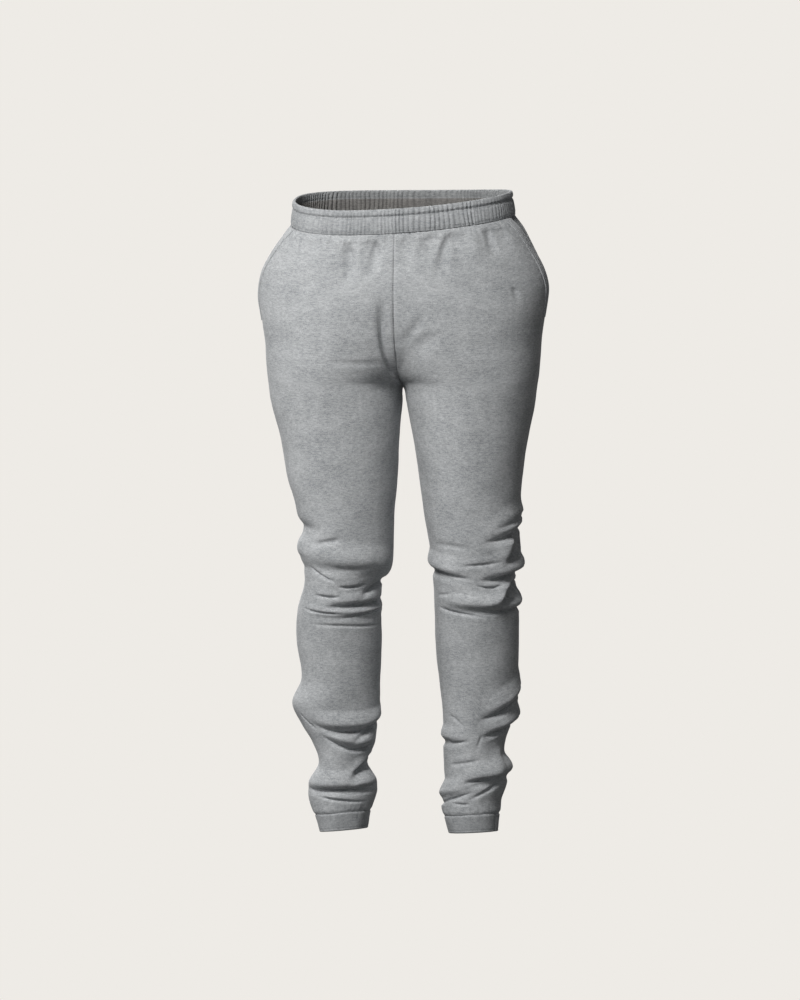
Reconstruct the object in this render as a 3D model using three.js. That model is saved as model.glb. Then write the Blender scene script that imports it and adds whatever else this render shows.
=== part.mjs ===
// Jogger sweatpants in brushed fleece jersey, filled out as when worn. Millimetres, +Z up, front towards -Y,
// +X towards the garment's left. The origin is the middle of the waist, inside the elastic waistband.
//
// Each leg is one oval tube from waist to ankle. Above the crotch the two ovals overlap, and each is cut off
// at the centre line, which gives the front and back rise seams their curve. Every tube is cut at the side
// seam and the inseam into a front and a back panel. Folds, gathers and the stitched-on pieces are all lifts
// of that one smooth surface, so neighbours stay the seam gap apart.
//
// Angles are in degrees round a leg: 0 at its front, 90 at the side seam, 180 at its back, and 270 or -90 at
// the inseam. They run the same way on both sides, so the left and right legs mirror each other.

import * as THREE from "three";

const CLOTH = 2.2; // thickness of the brushed fleece
const SEAM_GAP = 0.3; // between two pieces that are sewn together
const DEGREE = Math.PI / 180;

const BAND_TOP = 29; // top edge of the waistband at the sides
const BAND_BOTTOM = -8; // seam between waistband and panels
const BAND_GATHERS = 90;
const BAND_GATHER_DEPTH = 1.1;
const CALM_BAND = { middle: 78, reach: 36 }; // degrees where the elastic is stitched down flat at each side

const CROTCH = -262;
const CUFF_SEAM = -938;
const CUFF_BOTTOM = -966;
const CUFF_COLUMNS = 28;

const MOUTH_END = -165; // where the pocket mouth runs into the side seam
const MOUTH_SLANT = 16; // degrees that the mouth starts in front of the side seam, at the waistband
const MOUTH_GAPE = 4; // how far the mouth's edge stands off the bag behind it
const MOUTH_GAPE_REACH = 30; // degrees round the hip over which that fades
const HEM_CLOTH = 1.1; // the mouth's folded edge lies on the last column of the front panel's grid
const HEM_ROWS = 8;
const BAG_CLOTH = 1.2;
const BAG_COLUMNS = 4; // the bag lies behind this many columns of the front panel's grid
const BAG_ROWS = 12; // and behind this many of its rows

const WAIST_SLOPE = 0.13; // the waist is lower in front than behind
const WAIST_DISH = 7; // and lower in the middle of the front and back than at the sides
const WAIST_DEPTH = 108; // from its middle to its front
const WAIST_TILT = 0.03; // it is higher at the left, and more so in front than behind
const WAIST_TWIST = 0.03;
const HIP_TILT = 0.02; // the left hip is carried higher
const HEM_TILT = { left: 0.06, right: 0.1 }; // the hems slope up towards the garment's left

const GREY_MARL = 0xa3a5a7;
const GREY_MARL_BAG = 0x8d8f91;

const SIGN = { left: 1, right: -1 };

// Turns rows of numbers into objects with the named columns.
function table(columns, rows) {
  return rows.map((row) => Object.fromEntries(columns.map((name, i) => [name, row[i]])));
}

const SECTION = ["height", "outer", "inner", "front", "back"];
const BODY_ROWS = table(SECTION, [
  [29, 169, -169, -107, 107],
  [-8, 174, -174, -110, 110],
  [-28, 188, -188, -113, 114],
  [-56, 203, -192, -117, 120],
  [-87, 217, -180, -120, 126],
  [-119, 224, -152, -121, 131],
  [-155, 222, -110, -120, 131],
  [-197, 216, -57, -115, 124],
  [-228, 214, -23, -110, 115],
  [-250, 212, -6, -107, 109],
  [-262, 210, 0, -105, 106],
]);
const LEG_ROWS = {
  left: table(SECTION, [
    [-293, 206, 7, -102, 100],
    [-353, 195, 18, -97, 88],
    [-415, 186, 28, -91, 79],
    [-470, 182, 36, -86, 72],
    [-524, 184, 46, -81, 66],
    [-571, 178, 49, -75, 64],
    [-618, 181, 51, -69, 67],
    [-680, 180, 52, -59, 76],
    [-727, 178, 57, -53, 79],
    [-758, 178, 60, -49, 77],
    [-789, 171, 62, -46, 73],
    [-828, 159, 63, -44, 66],
    [-862, 166, 64, -43, 63],
    [-891, 162, 66, -43, 60],
    [-914, 154, 61, -43, 55],
    [-938, 150, 66, -42, 50],
    [-966, 148, 74, -40, 45],
  ]),
  right: table(SECTION, [
    [-293, 206, 2, -102, 100],
    [-353, 190, 6, -98, 88],
    [-415, 178, 9, -94, 79],
    [-470, 160, 14, -90, 70],
    [-524, 156, 15, -84, 63],
    [-552, 154, 19, -80, 62],
    [-578, 154, 33, -76, 63],
    [-618, 165, 35, -69, 66],
    [-665, 168, 35, -62, 73],
    [-727, 161, 38, -54, 78],
    [-766, 177, 38, -50, 76],
    [-800, 162, 42, -47, 71],
    [-828, 144, 46, -45, 65],
    [-860, 134, 57, -44, 60],
    [-891, 149, 42, -45, 58],
    [-914, 149, 44, -45, 56],
    [-938, 138, 53, -43, 50],
    [-966, 130, 57, -40, 43],
  ]),
};

// Folds that cross a leg. Each has a crease from one point to the other, which sags in the middle or, above 0,
// arches, a roll of cloth that hangs over it, and the roll's width.
const CROSS_FOLD = ["from", "fromHeight", "to", "toHeight", "arch", "roll", "crease", "width"];
const CROSS_FOLDS = {
  left: table(CROSS_FOLD, [
    [12, -502, 150, -484, 0, 6, 6, 20],
    [-130, -545, 8, -565, 2, 6, 5, 18],
    [8, -560, 150, -560, 2, 7, 8, 16],
    [-140, -610, 160, -607, 4, 9, 7, 16],
    [0, -786, 125, -725, -6, 5, 4, 20],
    [12, -812, 135, -780, 0, 7, 7, 16],
    [-130, -822, -5, -819, -1, 4, 4, 14],
    [-35, -890, 150, -887, 12, 8, 7, 18],
    [-150, -920, 8, -897, -2, 7, 5, 16],
    [140, -520, 262, -530, -6, 6, 6, 20],
    [130, -572, 255, -580, -8, 7, 7, 18],
    [130, -800, 250, -786, -10, 6, 5, 18],
    [125, -846, 240, -842, -8, 6, 6, 17],
  ]),
  right: table(CROSS_FOLD, [
    [20, -486, 160, -482, 0, 6, 6, 18],
    [-140, -568, 150, -539, 6, 9, 6, 24],
    [-105, -603, 20, -608, 0, 3, 5, 13],
    [-130, -622, 80, -623, -4, 5, 5, 13],
    [-125, -780, 45, -795, -15, 6, 6, 16],
    [-95, -822, 30, -812, -14, 4, 5, 14],
    [-110, -858, -20, -880, 3, 4, 5, 14],
    [-120, -893, 100, -900, 0, 7, 6, 17],
    [150, -522, 262, -532, -6, 6, 6, 20],
    [135, -590, 245, -596, -6, 6, 5, 18],
    [110, -804, 245, -796, -10, 6, 5, 18],
    [115, -858, 240, -850, -8, 6, 6, 17],
    [130, -908, 235, -904, -6, 6, 6, 15],
  ]),
};

// Soft folds that fall from the gathered waist or run towards the crotch: troughs where depth is below 0.
const DROP_FOLD = ["top", "topAngle", "bottom", "bottomAngle", "depth", "width"];
const DROP_FOLDS = {
  left: table(DROP_FOLD, [
    [-9, 6, -84, 2, -3, 5],
    [-9, 19, -66, 12, -4, 6],
    [-9, 33, -80, 26, -3, 6],
    [-9, 49, -70, 48, -3, 7],
    [-9, 116, -90, 113, -4, 7],
    [-9, 136, -76, 134, -4, 6],
    [-9, 156, -98, 152, -4, 7],
    [-9, 170, -70, 170, -3, 5],
  ]),
  right: table(DROP_FOLD, [
    [-9, 12, -84, 7, -4, 6],
    [-9, 23, -78, 17, -3, 6],
    [-9, 40, -64, 38, -2, 6],
    [-9, 112, -84, 110, -4, 7],
    [-9, 131, -74, 130, -4, 6],
    [-9, 149, -98, 145, -4, 7],
    [-9, 166, -80, 163, -3, 6],
    [-130, -8, -264, -70, -5, 10],
  ]),
};

// The waistband's section, from the seam up its outer face, over its top edge and down inside: height, how far
// it stands off the body's smooth surface, and its share of the gathers' depth.
const BAND_SECTION = table(["height", "offset", "gather"], [
  [BAND_BOTTOM, 0.4, 0],
  [BAND_BOTTOM + 5, 2.2, 1],
  [BAND_TOP - 16, 2.2, 1],
  [BAND_TOP - 12, 0.8, 0.4],
  [BAND_TOP - 8, 2, 0.8],
  [BAND_TOP, 0.2, 0.2],
  [BAND_TOP - 2, -3, 0],
  [BAND_BOTTOM, -2.4, 0],
]);

// A cuff's section, taken the same way round.
const CUFF_SECTION = table(["height", "offset"], [
  [CUFF_BOTTOM, 0.4],
  [CUFF_BOTTOM + 4, 1.4],
  [CUFF_SEAM - 5, 1.4],
  [CUFF_SEAM, 0.3],
  [CUFF_SEAM, -2.4],
  [CUFF_BOTTOM, -2.2],
]);

const clamp01 = (x) => Math.min(1, Math.max(0, x));
// Rises from 0 at x = 0 to 1 at x = 1 with no corner.
const smooth = (x) => clamp01(x) ** 2 * (3 - 2 * clamp01(x));
// 1 at x = 0, falling to 0 at x = 1 and -1 with no corner.
const bell = (x) => Math.max(0, 1 - x * x) ** 2;
const mix = (a, b, t) => a + (b - a) * t;

const SECTIONS = {
  left: [...BODY_ROWS, ...LEG_ROWS.left],
  right: [...BODY_ROWS, ...LEG_ROWS.right],
};

// The slope of a table's column at row i, from the rows beside it.
function slope(rows, i, name) {
  const above = rows[Math.max(0, i - 1)];
  const below = rows[Math.min(rows.length - 1, i + 1)];
  return (below[name] - above[name]) / (below.height - above.height);
}

// The oval at a height, on a smooth curve through the rows of the side's table.
function section(side, height) {
  const rows = SECTIONS[side];
  const found = rows.findIndex((row) => row.height <= height);
  const i = found < 0 ? rows.length - 2 : Math.max(0, found - 1);
  const [a, b] = [rows[i], rows[i + 1]];
  const step = b.height - a.height;
  const t = clamp01((height - a.height) / step);
  const value = (name) =>
    (1 + 2 * t) * (1 - t) ** 2 * a[name] +
    t * (1 - t) ** 2 * step * slope(rows, i, name) +
    t ** 2 * (3 - 2 * t) * b[name] +
    t ** 2 * (t - 1) * step * slope(rows, i + 1, name);
  const [outer, inner, front, back] = ["outer", "inner", "front", "back"].map(value);
  const centre = (outer + inner) / 2;
  const halfWidth = (outer - inner) / 2;
  return {
    centre,
    halfWidth,
    middle: (front + back) / 2,
    halfDepth: (back - front) / 2,
    // Angle from the side seam round to the rise seam or the inseam.
    reach: Math.acos(-clamp01(centre / halfWidth)) / DEGREE,
  };
}

// A point on the oval, moved out level by an offset, as if on the left side.
function ovalPoint(oval, angle, height, offset) {
  const [sin, cos] = [Math.sin(angle * DEGREE), Math.cos(angle * DEGREE)];
  const out = new THREE.Vector2(sin * oval.halfDepth, -cos * oval.halfWidth).normalize();
  return new THREE.Vector3(
    oval.centre + oval.halfWidth * sin + out.x * offset,
    oval.middle - oval.halfDepth * cos + out.y * offset,
    height,
  );
}

// How far along a crossing fold an angle lies, from 0 to 1, or nothing where the fold doesn't reach.
function along(fold, angle) {
  const past = (((angle - fold.from) % 360) + 360) % 360;
  return past < fold.to - fold.from ? past / (fold.to - fold.from) : null;
}

// The height of a fold's crease at a place along it.
function creaseHeight(fold, t) {
  return mix(fold.fromHeight, fold.toHeight, t) + fold.arch * 4 * t * (1 - t);
}

// How far a crossing fold moves the cloth out, and its roll down over the crease.
function crossFold(fold, angle, height) {
  const t = along(fold, angle);
  if (t === null) return { lift: 0, drop: 0 };
  const strength = smooth(t / 0.35) * smooth((1 - t) / 0.35);
  const above = (height - creaseHeight(fold, t)) / fold.width;
  const roll = fold.roll * bell((above - 0.75) / 1.2);
  const crease = fold.crease * bell(above / 0.75);
  return { lift: strength * (roll - crease), drop: 0.3 * strength * fold.roll * bell((above - 0.5) / 0.9) };
}

// How far a falling fold lifts the cloth.
function dropFold(fold, angle, height) {
  const t = (height - fold.top) / (fold.bottom - fold.top);
  if (t <= 0 || t >= 1) return 0;
  const across = (angle - mix(fold.topAngle, fold.bottomAngle, t)) / (fold.width * (0.8 + 0.5 * t));
  return fold.depth * bell(across) * smooth(t / 0.25) * smooth((1 - t) / 0.7);
}

// A row of the panels' grid follows the creases near it, so that they run along its edges.
function rowHeight(side, angle, level) {
  let pull = 0;
  let weight = 0.3;
  for (const fold of CROSS_FOLDS[side]) {
    const t = along(fold, angle);
    if (t === null) continue;
    const middle = (fold.fromHeight + fold.toHeight) / 2 + (fold.arch * 2) / 3;
    const near = bell((level - middle) / 32) * Math.sin(Math.PI * t);
    pull += near * (creaseHeight(fold, t) - middle);
    weight += near;
  }
  return level + (pull / weight) * smooth((level - CUFF_SEAM) / 30);
}

// The angle of the pocket mouth's edge at a height. It runs down and back into the side seam.
function mouthAngle(height) {
  return 90 - MOUTH_SLANT * clamp01((height - MOUTH_END) / (BAND_BOTTOM - MOUTH_END)) ** 1.6;
}

// How far the front panel stands off near the pocket mouth's edge.
function mouthGape(angle, height) {
  const t = clamp01((BAND_BOTTOM - height) / (BAND_BOTTOM - MOUTH_END));
  return MOUTH_GAPE * Math.sin(Math.PI * t) * bell(clamp01((mouthAngle(height) - angle) / MOUTH_GAPE_REACH));
}

// Stands a point as the garment is carried: the waist slopes, one hip is higher, and the hems tilt.
function stand(side, point) {
  const waist = smooth((point.z + 165) / 150);
  const band = smooth((point.z + 80) / 72);
  const hips = smooth((point.z - CROTCH) / 160);
  const hem = smooth((CUFF_SEAM + 45 - point.z) / 45);
  const cuff = SECTIONS[side].at(-1);
  const x = SIGN[side] * point.x;
  const dish = WAIST_DISH * (point.y / WAIST_DEPTH) ** 2;
  const z =
    point.z +
    waist * (WAIST_SLOPE * point.y - dish) +
    band * x * (WAIST_TILT - (WAIST_TWIST * point.y) / WAIST_DEPTH) +
    hips * HIP_TILT * x +
    hem * HEM_TILT[side] * (x - (SIGN[side] * (cuff.outer + cuff.inner)) / 2);
  return new THREE.Vector3(x, point.y, z);
}

// A point of the folded cloth, an offset out from its outer face.
function clothPoint(side, angle, height, offset) {
  let lift = 0;
  let drop = 0;
  for (const fold of CROSS_FOLDS[side]) {
    const moved = crossFold(fold, angle, height);
    lift += moved.lift;
    drop += moved.drop;
  }
  for (const fold of DROP_FOLDS[side]) lift += dropFold(fold, angle, height);
  const calm = smooth((height - CUFF_SEAM) / 14); // the folds die out at the cuff
  const point = ovalPoint(section(side, height), angle, height, offset + lift * calm);
  point.z -= drop * calm;
  point.x = Math.max(point.x, SEAM_GAP / 2); // each side keeps to its own half
  return stand(side, point);
}

// A solid from points and from quads of them that run anticlockwise, seen from outside. The garment's right
// mirrors its left, which turns the quads round, so there they are turned back.
function solid(side, points, quads) {
  const positions = new Float32Array(points.flatMap((p) => [p.x, p.y, p.z]));
  const index = quads.flatMap(([a, b, c, d]) => (side === "left" ? [a, b, c, a, c, d] : [a, c, b, a, d, c]));
  const geometry = new THREE.BufferGeometry();
  geometry.setAttribute("position", new THREE.BufferAttribute(positions, 3));
  geometry.setIndex(index);
  geometry.computeVertexNormals();
  return geometry;
}

// A wall with four edges, between an outer and an inner face that are each given by face(column, row). Columns
// run round from front to back, and rows run down.
function wall(side, columns, rows, outerFace, innerFace) {
  const points = [];
  for (const face of [outerFace, innerFace])
    for (let row = 0; row <= rows; row++)
      for (let column = 0; column <= columns; column++) points.push(face(column, row));
  const outer = (column, row) => row * (columns + 1) + column;
  const inner = (column, row) => outer(column, row) + (columns + 1) * (rows + 1);
  const quads = [];
  for (let row = 0; row < rows; row++)
    for (let column = 0; column < columns; column++)
      quads.push(
        [outer(column, row), outer(column, row + 1), outer(column + 1, row + 1), outer(column + 1, row)],
        [inner(column, row), inner(column + 1, row), inner(column + 1, row + 1), inner(column, row + 1)],
      );
  for (let i = 0; i < columns; i++)
    quads.push(
      [outer(i, 0), outer(i + 1, 0), inner(i + 1, 0), inner(i, 0)],
      [outer(i + 1, rows), outer(i, rows), inner(i, rows), inner(i + 1, rows)],
    );
  for (let i = 0; i < rows; i++)
    quads.push(
      [outer(0, i + 1), outer(0, i), inner(0, i), inner(0, i + 1)],
      [outer(columns, i), outer(columns, i + 1), inner(columns, i + 1), inner(columns, i)],
    );
  return solid(side, points, quads);
}

// A ring with a closed section: point(column, station) goes round the ring and round its section, up outside
// and down inside.
function ring(side, columns, stations, point) {
  const points = [];
  const quads = [];
  for (let column = 0; column < columns; column++)
    for (let station = 0; station < stations; station++) {
      points.push(point(column, station));
      const next = (column + 1) % columns;
      const after = (station + 1) % stations;
      quads.push([
        column * stations + station,
        next * stations + station,
        next * stations + after,
        column * stations + after,
      ]);
    }
  return solid(side, points, quads);
}

// Levels of the panels' rows, from the waistband down: close together where the cloth folds.
const ZONES = [
  { top: BAND_BOTTOM - SEAM_GAP, rows: 6 },
  { top: -120, rows: 7 },
  { top: CROTCH, rows: 7 },
  { top: -470, rows: 20 },
  { top: -645, rows: 4 },
  { top: -740, rows: 22 },
  { top: CUFF_SEAM + SEAM_GAP, rows: 0 },
];
const LEVELS = ZONES.flatMap(({ top, rows }, zone) =>
  Array.from({ length: Math.max(rows, 1) }, (_, i) => (rows ? mix(top, ZONES[zone + 1].top, i / rows) : top)),
);
const PANEL_COLUMNS = 11;

// Half of the seam gap, as an angle round a leg at its front or back seam.
const halfGap = (oval) => SEAM_GAP / 2 / oval.halfDepth / DEGREE;

// The angle of a column of a front panel, from the rise seam and inseam to the pocket mouth and side seam.
function frontAngle(side, column, level) {
  const oval = section(side, level);
  return mix(90 - oval.reach + halfGap(oval), mouthAngle(level) - halfGap(oval), column / PANEL_COLUMNS);
}

// The angle of a column of a back panel, from the side seam to the rise seam and inseam behind.
function backAngle(side, column, level) {
  const oval = section(side, level);
  return mix(90 + halfGap(oval), 90 + oval.reach - halfGap(oval), column / PANEL_COLUMNS);
}

function frontPanel(side) {
  const face = (offset) => (column, row) => {
    const level = LEVELS[row];
    const angle = frontAngle(side, column, level);
    return clothPoint(side, angle, rowHeight(side, angle, level), offset + mouthGape(angle, level));
  };
  return wall(side, PANEL_COLUMNS, LEVELS.length - 1, face(0), face(-CLOTH));
}

function backPanel(side) {
  const face = (offset) => (column, row) => {
    const angle = backAngle(side, column, LEVELS[row]);
    return clothPoint(side, angle, rowHeight(side, angle, LEVELS[row]), offset);
  };
  return wall(side, PANEL_COLUMNS, LEVELS.length - 1, face(0), face(-CLOTH));
}

// The bag behind a pocket mouth. It lies against the inside of the front panel, from whose grid it is made, and
// its back edge is sewn in at the side seam.
function pocketBag(side) {
  const face = (depth) => (column, row) => {
    const level = LEVELS[row];
    const first = PANEL_COLUMNS - BAG_COLUMNS;
    const seam = 90 - halfGap(section(side, level));
    const angle = column < BAG_COLUMNS ? frontAngle(side, first + column, level) : seam;
    return clothPoint(side, angle, rowHeight(side, angle, level), -CLOTH - SEAM_GAP - depth);
  };
  return wall(side, BAG_COLUMNS, BAG_ROWS, face(0), face(BAG_CLOTH));
}

// The folded and stitched edge along a pocket mouth, which lies on the front panel.
function mouthHem(side) {
  const face = (rise) => (column, row) => {
    const level = LEVELS[row];
    const angle = frontAngle(side, PANEL_COLUMNS - 1 + column, level);
    return clothPoint(side, angle, rowHeight(side, angle, level), mouthGape(angle, level) + SEAM_GAP + rise);
  };
  return wall(side, 1, HEM_ROWS, face(HEM_CLOTH), face(0));
}

// The elastic waistband: one folded strip all the way round, gathered but for a calm stretch at each side.
function waistband() {
  const columns = 2 * BAND_GATHERS;
  return ring("left", columns, BAND_SECTION.length, (column, station) => {
    const { height, offset, gather } = BAND_SECTION[station];
    const turn = (360 * column) / columns;
    const angle = Math.min(turn, 360 - turn);
    const calm = 1 - 0.75 * bell((angle - CALM_BAND.middle) / CALM_BAND.reach);
    const wave = gather * calm * BAND_GATHER_DEPTH * (column % 2 ? -1 : 1);
    return stand("left", ovalPoint(section("left", height), turn, height, offset + wave));
  });
}

// The doubled strip that ends a leg.
function cuff(side) {
  return ring(side, CUFF_COLUMNS, CUFF_SECTION.length, (column, station) => {
    const { height, offset } = CUFF_SECTION[station];
    return stand(side, ovalPoint(section(side, height), (360 * column) / CUFF_COLUMNS, height, offset));
  });
}

const fleece = new THREE.MeshStandardMaterial({ color: GREY_MARL, roughness: 0.95, metalness: 0 });
const bagCloth = new THREE.MeshStandardMaterial({ color: GREY_MARL_BAG, roughness: 0.95, metalness: 0 });

function piece(name, geometry, material = fleece) {
  const mesh = new THREE.Mesh(geometry, material);
  mesh.name = name;
  return mesh;
}

const joggers = new THREE.Group();
joggers.add(piece("waistband", waistband()));
for (const side of ["left", "right"]) {
  joggers.add(piece(`front_${side}`, frontPanel(side)));
  joggers.add(piece(`back_${side}`, backPanel(side)));
  joggers.add(piece(`pocket_bag_${side}`, pocketBag(side), bagCloth));
  joggers.add(piece(`pocket_hem_${side}`, mouthHem(side)));
  joggers.add(piece(`cuff_${side}`, cuff(side)));
}

export default joggers;
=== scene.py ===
# Jogger sweatpants in heather grey fleece, filled out as when worn. The cloth shells follow the solids' form
# on a finer grid, with every crease, gather, seam and stitch row placed one by one.
#
# Shapes are worked out in millimetres. Angles are degrees round a leg: 0 at its front, 90 at the side seam,
# 180 at its back, and 270 or -90 at the inseam, mirrored for the garment's right. Heights are millimetres
# above the middle of the waist.

import bpy
import numpy as np
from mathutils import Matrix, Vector


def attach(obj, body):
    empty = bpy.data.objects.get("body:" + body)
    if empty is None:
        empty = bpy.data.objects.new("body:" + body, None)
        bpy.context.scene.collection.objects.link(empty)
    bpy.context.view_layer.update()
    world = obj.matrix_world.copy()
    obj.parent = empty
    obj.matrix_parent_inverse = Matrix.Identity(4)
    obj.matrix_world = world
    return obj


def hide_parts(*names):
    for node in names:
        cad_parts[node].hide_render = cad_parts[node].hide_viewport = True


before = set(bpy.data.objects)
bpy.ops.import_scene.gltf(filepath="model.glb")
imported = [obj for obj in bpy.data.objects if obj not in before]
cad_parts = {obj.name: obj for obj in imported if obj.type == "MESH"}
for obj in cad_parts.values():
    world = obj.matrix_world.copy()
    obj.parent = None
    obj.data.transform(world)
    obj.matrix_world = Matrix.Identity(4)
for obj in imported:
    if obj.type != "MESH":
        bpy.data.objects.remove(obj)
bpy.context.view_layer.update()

MM = 0.001

# Cloth and seams
CLOTH = 2.2
BAG_CLOTH = 1.2
SEAM_DIP = 1.3
SEAM_REACH = 4.5
SEAM_RIDGE = 0.35

# Where the cloth by the rise seam fills the valley between the legs, and where it is drawn back to the seam
RISE_SPAN = 24
MEET_REACH = 14
MEET_FADE = 12

# Levels of the waistband, crotch and cuffs
BAND_TOP = 29
BAND_BOTTOM = -8
CROTCH = -262
CUFF_SEAM = -938
CUFF_BOTTOM = -966

# Pocket mouth
MOUTH_END = -165
MOUTH_SLANT = 16
MOUTH_GAPE = 4
MOUTH_GAPE_REACH = 30
MOUTH_HEM_WIDTH = 17
MOUTH_HEM_CLOTH = 1.1
MOUTH_HEM_STITCHES = [3.5, 13.5]

# Pocket bag: its lower end, and the share of the front panel at which it starts
BAG_BOTTOM = -205
BAG_START = 0.62

# Stitches: length, gap between two, and thickness of the thread
MOUTH_STITCH = (2.6, 0.9, 0.45)
BAND_STITCH = (2.5, 1.0, 0.42)
CUFF_STITCH = (2.4, 0.9, 0.42)

# How the garment is carried
WAIST_SLOPE = 0.13
WAIST_DISH = 7
WAIST_DEPTH = 108
WAIST_TILT = 0.014
WAIST_TWIST = 0.03
HIP_TILT = 0.02
HEM_TILT = {"left": 0.06, "right": 0.1}
HEM_SLOPE = 0.1
WAIST_SQUARE = 0.055

# Waistband gathers: number round the waist, their depth, and the stretches that are gathered
BAND_GATHERS = 152
BAND_GATHER_DEPTH = 1.25
BAND_SEAM_ANGLE = 41
BAND_EDGE = 2.6
BAND_COLUMNS = 1520
BAND_STITCH_HEIGHTS = [19.5, 16.3]
BAND_LOWER_STITCH = -4.2
BAND_INNER_STITCH = 17
UNDER_BAND_STITCH = 11.0
CUFF_STITCH_HEIGHT = 4

SIGN = {"left": 1, "right": -1}
PHASE = {"left": 0.4, "right": 2.6}

# Rows of each leg's oval: height, outer, inner, front, back
BODY_ROWS = [
    (29, 167, -169, -107, 107),
    (-8, 174, -174, -110, 110),
    (-28, 188, -188, -113, 114),
    (-56, 203, -192, -117, 120),
    (-87, 217, -180, -120, 126),
    (-119, 224, -157, -121, 131),
    (-155, 222, -122, -120, 131),
    (-197, 216, -76, -116, 124),
    (-228, 214, -41, -112, 115),
    (-250, 212, -16, -108, 109),
    (-262, 210, 0, -106, 106),
]
LEG_ROWS = {
    "left": [
        (-293, 206, 7, -102, 100),
        (-353, 195, 18, -97, 88),
        (-415, 186, 28, -91, 79),
        (-470, 182, 36, -86, 72),
        (-524, 184, 46, -81, 66),
        (-571, 178, 49, -75, 64),
        (-618, 181, 51, -69, 67),
        (-680, 180, 52, -59, 76),
        (-727, 178, 57, -53, 79),
        (-758, 178, 60, -49, 77),
        (-789, 171, 62, -46, 73),
        (-828, 159, 63, -44, 66),
        (-862, 166, 64, -43, 63),
        (-891, 162, 66, -43, 60),
        (-914, 154, 61, -43, 55),
        (-938, 150, 66, -42, 50),
        (-966, 148, 74, -40, 45),
    ],
    "right": [
        (-293, 206, 2, -102, 100),
        (-353, 190, 6, -98, 88),
        (-415, 178, 9, -94, 79),
        (-470, 160, 14, -90, 70),
        (-524, 156, 15, -84, 63),
        (-552, 154, 19, -80, 62),
        (-578, 154, 33, -76, 63),
        (-618, 165, 35, -69, 66),
        (-665, 168, 35, -62, 73),
        (-727, 161, 38, -54, 78),
        (-766, 177, 38, -50, 76),
        (-800, 162, 42, -47, 71),
        (-828, 144, 46, -45, 65),
        (-860, 134, 57, -44, 60),
        (-891, 149, 42, -45, 58),
        (-914, 149, 44, -45, 56),
        (-938, 138, 53, -43, 50),
        (-966, 130, 57, -40, 43),
    ],
}
SECTIONS = {side: np.array(BODY_ROWS + LEG_ROWS[side], float) for side in SIGN}

# Large folds across a leg: from, its height, to, its height, arch, roll, crease, width
ROLLS = {
    "left": [
        (10, -508, 150, -466, 0, 6, 6, 20),
        (-130, -545, 8, -565, 2, 6, 5, 18),
        (8, -566, 150, -550, 2, 7, 6, 16),
        (-70, -606, 160, -602, -6, 8, 4, 16),
        (0, -786, 125, -725, -6, 5, 4, 20),
        (12, -812, 135, -780, 0, 7, 7, 16),
        (-130, -822, -5, -819, -1, 4, 4, 14),
        (-35, -890, 150, -878, 8, 8, 4.5, 18),
        (-150, -920, 8, -897, -2, 7, 5, 16),
        (140, -520, 262, -530, -6, 6, 6, 20),
        (130, -572, 255, -580, -8, 7, 7, 18),
        (130, -800, 250, -786, -10, 6, 5, 18),
        (125, -846, 240, -842, -8, 6, 6, 17),
    ],
    "right": [
        (15, -488, 160, -484, 0, 2, 5, 26),
        (-120, -566, 150, -539, 6, 6, 1.6, 24),
        (-105, -603, 20, -608, 0, 3, 5, 13),
        (-130, -620, 60, -622, -2, 3, 1, 13),
        (-125, -780, 45, -795, -15, 6, 6, 16),
        (-95, -822, 30, -812, -14, 4, 5, 14),
        (-110, -858, -20, -880, 3, 4, 5, 14),
        (-120, -893, 100, -900, 0, 7, 6, 17),
        (150, -522, 262, -532, -6, 6, 6, 20),
        (135, -590, 245, -596, -6, 6, 5, 18),
        (110, -804, 245, -796, -10, 6, 5, 18),
        (115, -858, 240, -850, -8, 6, 6, 17),
        (130, -908, 235, -904, -6, 6, 6, 15),
    ],
}

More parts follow.
